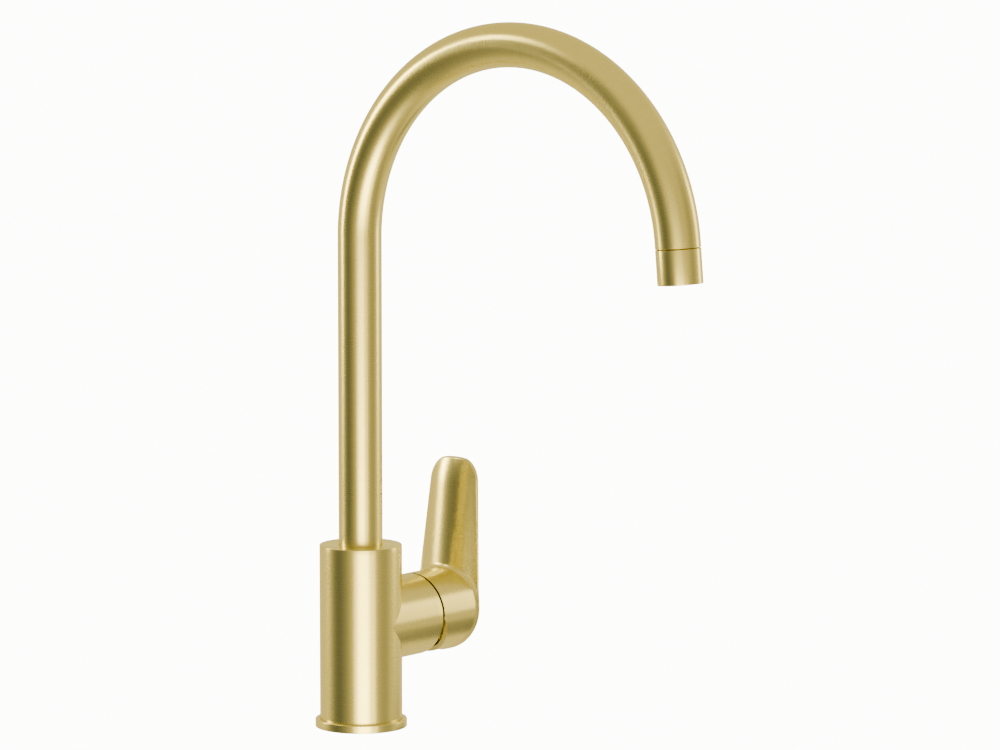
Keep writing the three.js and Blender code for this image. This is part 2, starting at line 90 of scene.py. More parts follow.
CUTTER_PAST = 1 * MM
TUBE_RADIUS = tube_high.x
TUBE_BORE_RADIUS = 11.5 * MM
BEND_RADIUS = 115 * MM
BEND_START = tube_high.z - TUBE_RADIUS - BEND_RADIUS
BEND_ANGLE = math.radians(175)
TAIL_LENGTH = 2.3 * MM
AERATOR_LENGTH = 20 * MM
GRILLE = (-19.4 * MM, -18.3 * MM)
SEAM = 0.4 * MM

# ---- mesh helpers ----
EDGE_ANGLE = math.radians(32)


def new_piece(name, vertices, faces, uvs=None):
    """A smooth-shaded mesh whose 'brush' UV map runs along the brushing in metres."""
    mesh = bpy.data.meshes.new(name)
    mesh.from_pydata([tuple(v) for v in vertices], [], [tuple(f) for f in faces])
    mesh.validate()
    layer = mesh.uv_layers.new(name="brush")
    if uvs is not None:
        layer.data.foreach_set("uv", np.asarray(uvs, np.float32).ravel())
    mesh.shade_smooth()
    mesh.set_sharp_from_angle(angle=EDGE_ANGLE)
    piece = bpy.data.objects.new(name, mesh)
    bpy.context.scene.collection.objects.link(piece)
    return piece


def rounded(outline, steps=6):
    """Rounds the corners of a closed (radius, height, fillet) outline."""
    points = []
    count = len(outline)
    for i, (x, y, fillet) in enumerate(outline):
        here = Vector((x, y))
        if fillet <= 0:
            points.append(here)
            continue
        before = (Vector(outline[i - 1][:2]) - here).normalized()
        after = (Vector(outline[(i + 1) % count][:2]) - here).normalized()
        half = before.angle(after) / 2
        reach = fillet / math.tan(half)
        centre = here + (before + after).normalized() * (fillet / math.sin(half))
        start = here + before * reach - centre
        end = here + after * reach - centre
        turn = start.angle_signed(end)
        for k in range(steps + 1):
            a = -turn * k / steps
            c, s = math.cos(a), math.sin(a)
            points.append(centre + Vector((c * start.x - s * start.y, s * start.x + c * start.y)))
    return points


def turned(name, outline, matrix=Matrix.Identity(4), sides=160):
    """Turns a closed outline about Z; a corner at radius 0 makes a pole."""
    points = rounded(outline)
    rows = len(points)
    lengths = [0.0]
    for a, b in zip(points, points[1:] + points[:1]):
        lengths.append(lengths[-1] + (b - a).length)
    widest = max(p.x for p in points)
    vertices = []
    index = {}
    for j, p in enumerate(points):
        for i in range(sides if p.x > 1e-9 else 1):
            angle = 2 * math.pi * i / sides
            index[i, j] = len(vertices)
            vertices.append(matrix @ Vector((p.x * math.cos(angle), p.x * math.sin(angle), p.y)))
    faces = []
    uvs = []
    for j in range(rows):
        k = (j + 1) % rows
        for i in range(sides):
            n = (i + 1) % sides
            corners = [(i, j), (n, j), (n, k), (i, k)]
            places = [(i, lengths[j]), (i + 1, lengths[j]), (i + 1, lengths[j + 1]), (i, lengths[j + 1])]
            face = []
            face_uv = []
            for (a, row), (u, v) in zip(corners, places):
                vertex = index[a if points[row].x > 1e-9 else 0, row]
                if vertex not in face:
                    face.append(vertex)
                    face_uv.append((u / sides * 2 * math.pi * widest, v))
            if len(face) > 2:
                faces.append(face)
                uvs.extend(face_uv)
    return new_piece(name, vertices, faces, uvs)


def cut(piece, *cutters):
    """Cuts closed meshes out of a piece and removes them."""
    for cutter in cutters:
        modifier = piece.modifiers.new("cut", "BOOLEAN")
        modifier.operation = "DIFFERENCE"
        modifier.solver = "EXACT"
        modifier.object = cutter
    graph = bpy.context.evaluated_depsgraph_get()
    mesh = bpy.data.meshes.new_from_object(piece.evaluated_get(graph))
    piece.modifiers.clear()
    piece.data = mesh
    mesh.shade_smooth()
    mesh.set_sharp_from_angle(angle=EDGE_ANGLE)
    for cutter in cutters:
        bpy.data.objects.remove(cutter)


def cutter(radius, length, matrix, sides=48):
    """A closed cylinder from the matrix's origin up its Z axis."""
    outline = [(0, 0, 0), (radius, 0, 0), (radius, length, 0), (0, length, 0)]
    return turned("cutter", outline, matrix, sides)


def finish_piece(piece, body, slot, material, *nodes):
    piece.data.materials.clear()
    piece.data.materials.append(material)
    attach(piece, body)
    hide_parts(*nodes)


# ---- materials ----
def new_material(name):
    material = bpy.data.materials.new(name)
    material.use_nodes = True
    nodes = material.node_tree.nodes
    return material, nodes, material.node_tree.links, nodes["Principled BSDF"]


def map_range(nodes, links, value, low, high):
    node = nodes.new("ShaderNodeMapRange")
    links.new(value, node.inputs["Value"])
    node.inputs["To Min"].default_value = low
    node.inputs["To Max"].default_value = high
    return node.outputs["Result"]


def noise(nodes, links, vector, scale, stretch, detail=2.0):
    mapping = nodes.new("ShaderNodeMapping")
    mapping.inputs["Scale"].default_value = stretch
    links.new(vector, mapping.inputs["Vector"])
    texture = nodes.new("ShaderNodeTexNoise")
    texture.inputs["Scale"].default_value = scale
    texture.inputs["Detail"].default_value = detail
    links.new(mapping.outputs["Vector"], texture.inputs["Vector"])
    return texture.outputs["Fac"]


def brushed_metal(name, dark, light, roughness, anisotropy):
    """Metal with hairlines along the 'brush' UV map's U direction."""
    material, nodes, links, shader = new_material(name)
    uv = nodes.new("ShaderNodeUVMap")
    uv.uv_map = "brush"
    fine = noise(nodes, links, uv.outputs["UV"], 1.0, (120, 9000, 1), 3.0)
    coarse = noise(nodes, links, uv.outputs["UV"], 1.0, (45, 2200, 1), 2.0)
    coordinates = nodes.new("ShaderNodeTexCoord")
    cloud = noise(nodes, links, coordinates.outputs["Object"], 30.0, (1, 1, 1), 3.0)
    mix = nodes.new("ShaderNodeMix")
    mix.data_type = "RGBA"
    mix.inputs["A"].default_value = (*dark, 1)
    mix.inputs["B"].default_value = (*light, 1)
    links.new(map_range(nodes, links, coarse, -0.4, 1.4), mix.inputs["Factor"])
    links.new(mix.outputs["Result"], shader.inputs["Base Color"])
    rough = nodes.new("ShaderNodeMath")
    rough.operation = "ADD"
    links.new(map_range(nodes, links, fine, roughness - 0.03, roughness + 0.03), rough.inputs[0])
    links.new(map_range(nodes, links, cloud, -0.03, 0.03), rough.inputs[1])
    links.new(rough.outputs["Value"], shader.inputs["Roughness"])
    bump = nodes.new("ShaderNodeBump")
    bump.inputs["Strength"].default_value = 0.1
    bump.inputs["Distance"].default_value = 0.000004
    links.new(fine, bump.inputs["Height"])
    links.new(bump.outputs["Normal"], shader.inputs["Normal"])
    tangent = nodes.new("ShaderNodeTangent")
    tangent.direction_type = "UV_MAP"
    tangent.uv_map = "brush"
    links.new(tangent.outputs["Tangent"], shader.inputs["Tangent"])
    shader.inputs["Metallic"].default_value = 1.0
    shader.inputs["Anisotropic"].default_value = anisotropy
    shader.inputs["Anisotropic Rotation"].default_value = 0.25
    return material


def plain_material(name, dark, light, metallic, roughness, scale, bump_distance):
    """A moulded, turned or cast surface: mottled colour, uneven gloss and a fine grain."""
    material, nodes, links, shader = new_material(name)
    coordinates = nodes.new("ShaderNodeTexCoord")
    grain = noise(nodes, links, coordinates.outputs["Object"], scale, (1, 1, 1), 4.0)
    cloud = noise(nodes, links, coordinates.outputs["Object"], scale / 12, (1, 1, 1), 2.0)
    mix = nodes.new("ShaderNodeMix")
    mix.data_type = "RGBA"
    mix.inputs["A"].default_value = (*dark, 1)
    mix.inputs["B"].default_value = (*light, 1)
    links.new(cloud, mix.inputs["Factor"])
    links.new(mix.outputs["Result"], shader.inputs["Base Color"])
    links.new(map_range(nodes, links, grain, roughness - 0.08, roughness + 0.08), shader.inputs["Roughness"])
    bump = nodes.new("ShaderNodeBump")
    bump.inputs["Strength"].default_value = 0.3
    bump.inputs["Distance"].default_value = bump_distance
    links.new(grain, bump.inputs["Height"])
    links.new(bump.outputs["Normal"], shader.inputs["Normal"])
    shader.inputs["Metallic"].default_value = metallic
    return material


BRASS_LOOK = ((0.79, 0.733, 0.455), (0.85, 0.79, 0.514), 0.28, 0.6)
BRASS = brushed_metal("brushed_brass", *BRASS_LOOK)
RAW_BRASS = plain_material("raw_brass", (0.45, 0.30, 0.09), (0.55, 0.38, 0.13), 1.0, 0.35, 900, 0.00002)
STEEL = plain_material("steel", (0.50, 0.50, 0.51), (0.62, 0.62, 0.63), 1.0, 0.28, 1200, 0.00001)
CERAMIC = plain_material("ceramic", (0.78, 0.76, 0.70), (0.86, 0.84, 0.79), 0.0, 0.25, 1500, 0.000005)
ACETAL = plain_material("acetal", (0.66, 0.66, 0.63), (0.74, 0.74, 0.71), 0.0, 0.45, 1100, 0.00001)
GREY_PLASTIC = plain_material(
    "grey_plastic", (0.13, 0.135, 0.14), (0.17, 0.175, 0.18), 0.0, 0.5, 1100, 0.00001
)
RUBBER = plain_material("rubber", (0.012, 0.012, 0.012), (0.022, 0.022, 0.022), 0.0, 0.75, 1400, 0.00002)
SLOT_MATERIALS = {
    "brushed_brass": BRASS,
    "raw_brass": RAW_BRASS,
    "steel": STEEL,
    "ceramic": CERAMIC,
    "acetal": ACETAL,
    "grey_plastic": GREY_PLASTIC,
    "rubber": RUBBER,
}
HUB_TURN = Matrix.Rotation(math.pi, 4, Vector((1, 0, 1)).normalized())
HUB_MATRIX = Matrix.Translation((0, 0, HUB_HEIGHT)) @ HUB_TURN


# ---- barrel and hub ----
def barrel_and_hub():
    """Two equal cylinders that meet in a sharp V: both share one set of angles, so the V is exact."""
    sides = 192
    radius = BARREL_RADIUS
    vertices = []
    faces = []
    uvs = []
    angles = [2 * math.pi * i / sides for i in range(sides)]

    def ring(points):
        start = len(vertices)
        vertices.extend(points)
        return list(range(start, start + len(points)))

    def circle(r, z):
        return ring([(r * math.cos(a), r * math.sin(a), z) for a in angles])

    def hub_circle(r, x):
        return ring([(x, r * math.sin(a), HUB_HEIGHT - r * math.cos(a)) for a in angles])

    def band(low, high, low_v, high_v, flip=False):
        for i in range(sides):
            n = (i + 1) % sides
            face = [low[i], low[n], high[n], high[i]]
            u0, u1 = radius * angles[i], radius * (angles[i] + 2 * math.pi / sides)
            place = [(u0, low_v[i]), (u1, low_v[n]), (u1, high_v[n]), (u0, high_v[i])]
            kept = [k for k in range(4) if face[k] not in face[:k]]
            if len(kept) < 3:
                continue
            order = kept[::-1] if flip else kept
            faces.append([face[k] for k in order])
            uvs.extend(place[k] for k in order)

    def cap(loop, flip):
        faces.append(loop[::-1] if flip else list(loop))
        uvs.extend([(vertices[v][0], vertices[v][1] + vertices[v][2]) for v in faces[-1]])

    def stack(rings, positions, flip=False):
        for (a, b), (pa, pb) in zip(zip(rings, rings[1:]), zip(positions, positions[1:])):
            band(a, b, [pa] * sides, [pb] * sides, flip)

    reach = [radius * max(math.cos(a), 0.0) for a in angles]
    lower_v = ring([
        (radius * math.cos(a), radius * math.sin(a), HUB_HEIGHT - d) for a, d in zip(angles, reach)
    ])
    upper_v = list(lower_v)
    for i, (a, d) in enumerate(zip(angles, reach)):
        if d > 1e-9:
            upper_v[i] = len(vertices)
            vertices.append((radius * math.cos(a), radius * math.sin(a), HUB_HEIGHT + d))

    # lower and upper skins of the barrel, in rows that lean from level to the V
    rows = 14
    foot = circle(radius, FOOT_STEP)
    low = foot
    for k in range(1, rows + 1):
        t = k / rows
        if k == rows:
            high = lower_v
        else:
            high = ring([
                (radius * math.cos(a), radius * math.sin(a), FOOT_STEP + t * (HUB_HEIGHT - d - FOOT_STEP))
                for a, d in zip(angles, reach)
            ])
        band(low, high, [vertices[v][2] for v in low], [vertices[v][2] for v in high])
        low = high
    shoulder = BARREL_TOP - SHOULDER_EDGE
    low = upper_v
    for k in range(1, rows + 1):
        t = k / rows
        high = ring([
            (radius * math.cos(a), radius * math.sin(a), shoulder - (1 - t) * (shoulder - HUB_HEIGHT - d))
            for a, d in zip(angles, reach)
        ])
        band(low, high, [vertices[v][2] for v in low], [vertices[v][2] for v in high])
        low = high

    # rounded shoulder, top face, a close collar round the neck, bore and its floor
    collar = TUBE_RADIUS + COLLAR_GAP
    top = [low]
    height = [shoulder]
    for k in range(1, 6):
        a = math.pi / 2 * k / 5
        top.append(circle(radius - SHOULDER_EDGE * (1 - math.cos(a)), shoulder + SHOULDER_EDGE * math.sin(a)))
        height.append(shoulder + SHOULDER_EDGE * a)
    for r, z in ((collar, BARREL_TOP), (collar, BARREL_TOP - COLLAR_DEPTH),
                 (SPOUT_BORE_RADIUS, BARREL_TOP - COLLAR_DEPTH), (SPOUT_BORE_RADIUS, SPOUT_BORE_FLOOR)):
        top.append(circle(r, z))
        height.append(height[-1] + 1 * MM + radius - r)
    stack(top, height)
    cap(top[-1], False)

    # foot: step, spigot and underside
    bottom = [foot]
    for r, z in ((FOOT_RADIUS, FOOT_STEP), (FOOT_RADIUS, 0.3 * MM), (FOOT_RADIUS - 0.3 * MM, 0)):
        bottom.append(circle(r, z))
    stack(bottom, [0, 3 * MM, 6 * MM, 6.4 * MM], True)
    cap(bottom[-1], True)

    # hub skin: its loop is the lower V forwards and the upper V back
    half = sides // 4
    front = list(range(-half, half + 1))
    loop = [lower_v[i] for i in front] + [upper_v[i] for i in front[::-1][1:-1]]
    loop = loop[half:] + loop[:half]
    rim = HUB_END - RIM_EDGE
    low = loop
    rows = 10
    for k in range(1, rows + 1):
        t = k / rows
        starts = [vertices[v][0] for v in loop]
        high = ring([
            (s + t * (rim - s), radius * math.sin(a), HUB_HEIGHT - radius * math.cos(a))
            for s, a in zip(starts, angles)
        ])
        band(low, high, [vertices[v][0] for v in low], [vertices[v][0] for v in high])
        low = high
    mouth = [low]
    place = [rim]
    for k in range(1, 6):
        a = math.pi / 2 * k / 5
        mouth.append(hub_circle(radius - RIM_EDGE * (1 - math.cos(a)), rim + RIM_EDGE * math.sin(a)))
        place.append(rim + RIM_EDGE * a)
    for r, x in ((LIP_RADIUS, HUB_END), (LIP_RADIUS, LIP_FLOOR), (MOUTH_RADIUS, LIP_FLOOR),
                 (MOUTH_RADIUS, MOUTH_FLOOR), (POCKET_RADIUS, MOUTH_FLOOR), (POCKET_RADIUS, POCKET_FLOOR)):
        mouth.append(hub_circle(r, x))
        place.append(place[-1] + 2 * MM)
    stack(mouth, place)
    cap(mouth[-1], False)

    piece = new_piece("barrel_and_hub", vertices, faces, uvs)
    sockets = [
        cutter(HOSE_SOCKET_RADIUS, HOSE_SOCKET_DEPTH + CUTTER_PAST, Matrix.Translation((0, y, -CUTTER_PAST)))
        for y in (-HOSE_SOCKET_OFFSET, HOSE_SOCKET_OFFSET)
    ]
    stud_place = Matrix.Translation((-STUD_OFFSET, 0, -CUTTER_PAST))
    stud = cutter(STUD_HOLE_RADIUS, STUD_HOLE_DEPTH + CUTTER_PAST, stud_place)
    back = Matrix.Translation((0, SPOUT_BORE_RADIUS - 2 * MM, (screw_low.z + screw_high.z) / 2))
    grub = cutter(GRUB_HOLE_RADIUS, 14 * MM, back @ Matrix.Rotation(-math.pi / 2, 4, "X"))
    cut(piece, *sockets, stud, grub)
    mark_v_sharp(piece.data)
    finish_piece(piece, "fixed_body", "brushed_brass", BRASS, "valve_body")
    # paints shade: black inside the hub's rim recess, where the gap round the cap is in shadow
    paint_lip_shade(piece.data)


def mark_v_sharp(mesh):
    """The V fades to nothing at its two tips, so its edges are marked by place and not by angle."""
    def on_v(p):
        flat = abs(p.x - abs(p.z - HUB_HEIGHT)) < 1e-5
        return flat and abs(math.hypot(p.x, p.y) - BARREL_RADIUS) < 1e-5
    for edge in mesh.edges:
        a, b = (mesh.vertices[v].co for v in edge.vertices)
        if on_v(a) and on_v(b) and abs(a.z - b.z) > 1e-7:
            edge.use_edge_sharp = True


def paint_lip_shade(mesh):
    """Painted shade: the recess in the hub's rim is painted black inside with the rubber material, above the wedge
    only, where the gap round the cap lies in shadow, so the gap reads as a dark line.
    """
    mesh.materials.append(RUBBER)
    for face in mesh.polygons:
        x, y, z = face.center
        radial = math.hypot(y, z - HUB_HEIGHT)
        in_lip = LIP_FLOOR - 0.1 * MM < x < HUB_END - 0.1 * MM and radial < LIP_RADIUS + 0.01 * MM
        # painted shade only above the wedge, where the gap's shadow falls
        if in_lip and z > GAP_SHADE_END:
            face.material_index = 1


# ---- ring, gasket and dome ----
def foot_ring():
    outer = ring_high.x
    top = ring_high.z
    seat = BARREL_RADIUS + 0.12 * MM
    bore = FOOT_RADIUS + 0.3 * MM
    ledge = FOOT_STEP - 0.3 * MM
    outline = [
        (bore, 0, 0), (22.8 * MM, 0, 0), (22.8 * MM, 1.2 * MM, 0), (25 * MM, 1.2 * MM, 0), (25 * MM, 0, 0),
        (outer, 0, 0.25 * MM), (outer, top, 0.6 * MM), (seat, top, 0.1 * MM), (seat, ledge, 0),
        (bore, ledge, 0),
    ]
    finish_piece(turned("foot_ring", outline, sides=192), "fixed_body", "brushed_brass", BRASS, "base_ring")


def deck_gasket():
    outline = [
        (23.1 * MM, 0, 0.3 * MM), (24.7 * MM, 0, 0.3 * MM),
        (24.7 * MM, seal_high.z, 0.3 * MM), (23.1 * MM, seal_high.z, 0.3 * MM),
    ]
    finish_piece(turned("deck_gasket", outline, sides=160), "fixed_body", "rubber", RUBBER, "base_seal")


def hub_dome():
    outer = dome_high.z - HUB_HEIGHT
    outer = math.hypot(outer, dome_low.x - pivot.x)
    inner = outer - 1.4 * MM
    first = dome_low.x - pivot.x
    last = dome_high.x - pivot.x
    points = []
    for radius, start, end in ((outer, first, last), (inner, last, first)):
        for k in range(17):
            a = math.asin(start / radius) + (math.asin(end / radius) - math.asin(start / radius)) * k / 16
            points.append((radius * math.cos(a), pivot.x + radius * math.sin(a), 0))
    finish_piece(turned("hub_dome", points, HUB_MATRIX), "fixed_body", "brushed_brass", BRASS, "dome_cover")


# ---- neck ----
def neck_frame(angle, beyond=0.0):
    """Centre and outward direction on the bend at an angle, moved on along the neck by beyond."""
    along = Vector((0, -math.sin(angle), math.cos(angle)))
    centre = Vector((0, -BEND_RADIUS * (1 - math.cos(angle)), BEND_START + BEND_RADIUS * math.sin(angle)))
    return centre + along * beyond, Vector((0, math.cos(angle), math.sin(angle))), along


def neck():
    sides = 96
    stations = [neck_frame(0, tube_low.z - BEND_START), neck_frame(0, -60 * MM)]
    stations += [neck_frame(BEND_ANGLE * k / 150) for k in range(151)]
    stations.append(neck_frame(BEND_ANGLE, TAIL_LENGTH - 0.25 * MM))
    stations.append(neck_frame(BEND_ANGLE, TAIL_LENGTH))
    vertices = []
    rings = []
    travel = [0.0]
    for a, b in zip(stations, stations[1:]):
        travel.append(travel[-1] + (b[0] - a[0]).length)

    def add_ring(station, radius):
        centre, out, _ = station
        rings.append(len(vertices))
        for i in range(sides):
            angle = 2 * math.pi * i / sides
            sideways = Vector((radius * math.sin(angle), 0, 0))
            vertices.append(centre + out * (radius * math.cos(angle)) + sideways)

    places = []
    for k, station in enumerate(stations):
        add_ring(station, TUBE_RADIUS - (0.25 * MM if k == len(stations) - 1 else 0))
        places.append(travel[k])
    for k in range(len(stations) - 1, -1, -1):
        add_ring(stations[k], TUBE_BORE_RADIUS)
        places.append(places[-1] + 1 * MM)
    faces = []
    uvs = []
    for j, start in enumerate(rings):
        k = (j + 1) % len(rings)
        v0 = places[j]
        v1 = places[k] if k else places[j] + 1 * MM
        for i in range(sides):
            n = (i + 1) % sides
            faces.append([start + i, rings[k] + i, rings[k] + n, start + n])
            u0, u1 = (2 * math.pi * TUBE_RADIUS * q / sides for q in (i, i + 1))
            uvs.extend([(u0, v0), (u0, v1), (u1, v1), (u1, v0)])
    piece = new_piece("neck", vertices, faces, uvs)
    finish_piece(piece, "spout", "brushed_brass", BRASS, "spout_tube")


# ---- outlet ----
def tip_matrix():
    centre, _, _ = neck_frame(BEND_ANGLE, TAIL_LENGTH)
    return Matrix.Translation(centre) @ Matrix.Rotation(BEND_ANGLE - math.pi, 4, "X")


def outlet_sleeve():
    bore = 11 * MM
    lip = 9.7 * MM
    outline = [
        (lip, -AERATOR_LENGTH, 0.2 * MM), (TUBE_RADIUS, -AERATOR_LENGTH, 0.6 * MM),
        (TUBE_RADIUS, -SEAM, 0.25 * MM),
        (bore, -SEAM, 0), (bore, -AERATOR_LENGTH + 1.4 * MM, 0), (lip, -AERATOR_LENGTH + 1.4 * MM, 0.2 * MM),
    ]
    piece = turned("outlet_sleeve", outline, tip_matrix(), 128)
    finish_piece(piece, "spout", "brushed_brass", BRASS, "aerator_housing")


def outlet_honeycomb():
    """The aerator's outlet: a disc with a honeycomb of straight cells."""
    low, high = GRILLE
    radius = 9.2 * MM
    outline = [(0, low, 0), (radius, low, 0.3 * MM), (radius, high, 0), (0, high, 0)]
    piece = turned("outlet_honeycomb", outline, tip_matrix(), 96)
    pitch = 1.75 * MM
    wall = 0.35 * MM
    cells = bmesh.new()
    for row in range(-5, 6):
        for column in range(-6, 7):
            x = pitch * (column + (row % 2) / 2)
            y = pitch * row * math.sqrt(3) / 2
            if math.hypot(x, y) > 7.9 * MM:
                continue
            centre = Matrix.Translation((x, y, (low + high) / 2))
            place = tip_matrix() @ centre @ Matrix.Rotation(math.pi / 6, 4, "Z")
            bmesh.ops.create_cone(
                cells, cap_ends=True, segments=6, depth=3 * MM, matrix=place,
                radius1=(pitch - wall) / math.sqrt(3), radius2=(pitch - wall) / math.sqrt(3),
            )
    mesh = bpy.data.meshes.new("cells")
    cells.to_mesh(mesh)
    cells.free()
    cell_cutter = bpy.data.objects.new("cells", mesh)
    bpy.context.scene.collection.objects.link(cell_cutter)
    cut(piece, cell_cutter)
    finish_piece(piece, "spout", "grey_plastic", GREY_PLASTIC, "aerator_grille")


# ---- screws ----
def hex_cutter(width, depth, matrix):
    outline = [(0, 0, 0), (width / math.sqrt(3), 0, 0), (width / math.sqrt(3), depth, 0), (0, depth, 0)]
    return turned("cutter", outline, matrix, 6)


def rear_grub_screw():
    middle = (screw_low.z + screw_high.z) / 2
    axis = Matrix.Translation((0, 0, middle)) @ Matrix.Rotation(-math.pi / 2, 4, "X")
    tip, end = screw_low.y, screw_high.y
    outline = [
        (0, tip, 0), (1.3 * MM, tip, 0.2 * MM), (1.3 * MM, tip + 2.2 * MM, 0), (2 * MM, tip + 2.9 * MM, 0),
        (2 * MM, end, 0.3 * MM), (0, end, 0),
    ]
    piece = turned("rear_grub_screw", outline, axis, 48)
    cut(piece, hex_cutter(2 * MM, 4 * MM, axis @ Matrix.Translation((0, 0, end - 2.2 * MM))))
    finish_piece(piece, "fixed_body", "steel", STEEL, "spout_retaining_screw")


def shade_gap(material):
    """Painted shade: blackens the lever's colour at the undercut behind the cap's rim, inside the rim, near it,
    and above the wedge, where the gap lies in shadow.
    """
    nodes, links = material.node_tree.nodes, material.node_tree.links
    shader = nodes["Principled BSDF"]
    coordinates = nodes.new("ShaderNodeTexCoord")
    across = nodes.new("ShaderNodeVectorMath")
    across.operation = "MULTIPLY"
    across.inputs[1].default_value = (0, 1, 1)
    links.new(coordinates.outputs["Object"], across.inputs[0])
    radial = nodes.new("ShaderNodeVectorMath")
    radial.operation = "DISTANCE"
    radial.inputs[1].default_value = (0, 0, HUB_HEIGHT)
    links.new(across.outputs["Vector"], radial.inputs[0])
    parts = nodes.new("ShaderNodeSeparateXYZ")
    links.new(coordinates.outputs["Object"], parts.inputs["Vector"])
    shade = None
    for value, clear, black in ((radial.outputs["Value"], LIP_EDGE, LIP_EDGE - 0.2 * MM),
                                (parts.outputs["X"], CAP_START + 4 * MM, CAP_START + 3 * MM),
                                (parts.outputs["Z"], HUB_HEIGHT - 1 * MM, HUB_HEIGHT + 1 * MM)):
        step = nodes.new("ShaderNodeMapRange")
        step.inputs["From Min"].default_value = clear
        step.inputs["From Max"].default_value = black
        links.new(value, step.inputs["Value"])
        if shade is None:
            shade = step.outputs["Result"]
            continue
        both = nodes.new("ShaderNodeMath")
        both.operation = "MULTIPLY"
        links.new(shade, both.inputs[0])
        links.new(step.outputs["Result"], both.inputs[1])
        shade = both.outputs["Value"]
    mix = nodes.new("ShaderNodeMix")
    mix.data_type = "RGBA"
    # painted shade colour for the shadowed gap behind the cap's rim
    mix.inputs["B"].default_value = (0.01, 0.01, 0.01, 1)
    links.new(shader.inputs["Base Color"].links[0].from_socket, mix.inputs["A"])
    links.new(shade, mix.inputs["Factor"])
    links.new(mix.outputs["Result"], shader.inputs["Base Color"])


def lever_screw_plug():
    centre = (plug_low + plug_high) / 2
    down = Matrix.Translation((centre.x, centre.y, 0)) @ Matrix.Rotation(math.pi, 4, "X")
    radius = (plug_high.x - plug_low.x) / 2
    outline = [
        (0, -plug_high.z, 0), (radius, -plug_high.z, 0), (radius, -plug_low.z, 0.5 * MM), (0, -plug_low.z, 0),
    ]
    piece = turned("lever_screw_plug", outline, down, 48)
    finish_piece(piece, "lever", "brushed_brass", BRASS, "grub_screw_plug")


# ---- lever ----
CAP_START = lever_low.x + 0.25 * MM
CAP_RADIUS = 24 * MM
CAP_BORE = 21.5 * MM
CAP_FLOOR = 74 * MM
RELIEF = math.radians(22.5)
LIP_EDGE = 23.85 * MM
BLADE_TOP = lever_high.z - HUB_HEIGHT - 0.3 * MM
BLADE_CORNER = 9.6 * MM
CROWN_HEIGHT = 16 * MM
CROWN_RADIUS = 60 * MM
TOP_RADIUS = 52 * MM
BLADE_TAPER = math.radians(4.7)
BLADE_LEAN = math.radians(5.3)
BLADE_FACE = 82 * MM
BLADE_EDGE = 1.2 * MM
RIDGE_LEAN = math.radians(6.6)
RIDGE_FACE = 75 * MM
RIDGE_RADIUS = 36 * MM
BLADE_TO_CAP = 2.6 * MM
RIDGE_TO_EDGE = 1.5 * MM
CAP_FACE_ROUND = 2.6 * MM
OUTER_ROUND = 0.6 * MM
INNER_ROUND = 0.9 * MM
CAP_RIM_ROUND = 0.15 * MM


def round_union(a, b, r):
    return np.maximum(r, np.minimum(a, b)) - np.hypot(np.maximum(r - a, 0), np.maximum(r - b, 0))


def round_join(a, b, r):
    return np.minimum(-r, np.maximum(a, b)) + np.hypot(np.maximum(r + a, 0), np.maximum(r + b, 0))


def box_distance(x, y, z, low, high):
    return np.maximum.reduce([low[0] - x, x - high[0], low[1] - y, y - high[1], low[2] - z, z - high[2]])


def lever_distance(points):
    """Signed distance of the lever near its surface; points are (along the hub, sideways, up from it)."""
    s, p, h = points.T
    radial = np.hypot(p, h)
    rise = h - CAP_RADIUS
    outer = (s - BLADE_FACE) * math.cos(BLADE_LEAN) - rise * math.sin(BLADE_LEAN)
    side = np.abs(p) * math.cos(BLADE_TAPER) + h * math.sin(BLADE_TAPER) - CAP_RADIUS
    teardrop = np.where(h > np.abs(p) * math.tan(BLADE_TAPER), side, radial - CAP_RADIUS)
    dome = np.hypot(p, np.maximum(h - BLADE_TOP + TOP_RADIUS, 0)) - TOP_RADIUS
    teardrop = round_join(teardrop, dome, BLADE_CORNER)
    crown = np.maximum(h - BLADE_TOP + CROWN_HEIGHT, 0) ** 2 / (2 * CROWN_RADIUS)
    depth = (s - RIDGE_FACE - crown) * math.cos(RIDGE_LEAN) - rise * math.sin(RIDGE_LEAN)
    ridge = np.hypot(depth - RIDGE_RADIUS, p) - RIDGE_RADIUS
    inner = round_union(ridge, -outer - BLADE_EDGE, RIDGE_TO_EDGE)
    plate = round_join(round_join(teardrop, outer, OUTER_ROUND), inner, INNER_ROUND)
    cap = round_join(radial - CAP_RADIUS, outer, CAP_FACE_ROUND)
    solid = round_union(plate, cap, BLADE_TO_CAP)
    undercut = np.maximum(LIP_EDGE - radial, 0) * smooth_step(h, -1 * MM, 1 * MM)
    rim = CAP_START + np.maximum(0.3 * MM - h, 0) * math.tan(RELIEF) + undercut
    slope = np.where(h < 0.3 * MM, math.cos(RELIEF), np.where(radial < LIP_EDGE, math.sqrt(0.5), 1.0))
    solid = round_join(solid, (rim - s) * slope, CAP_RIM_ROUND)
    boss = box_distance(s, p, h, (63 * MM, -9 * MM, -9 * MM), (1, 9 * MM, 9 * MM))
    bore = np.maximum(np.maximum(radial - CAP_BORE, s - CAP_FLOOR), -boss)
    socket = box_distance(s, p, h, (62 * MM, -6.3 * MM, -6.3 * MM), (72 * MM, 6.3 * MM, 6.3 * MM))
    screw_place = (plug_low.x + plug_high.x) / 2
    screw_hole = np.maximum(np.hypot(s - screw_place, p) - 2.8 * MM, h)
    return np.maximum(solid, -np.minimum(np.minimum(bore, socket), screw_hole))


def smooth_step(value, start, end):
    t = np.clip((value - start) / (end - start), 0, 1)
    return t * t * (3 - 2 * t)


def gradient(distance, points, step=0.02 * MM):
    columns = []
    for axis in range(3):
        shift = np.zeros(3)
        shift[axis] = step
        columns.append((distance(points + shift) - distance(points - shift)) / (2 * step))
    return np.stack(columns, axis=1)


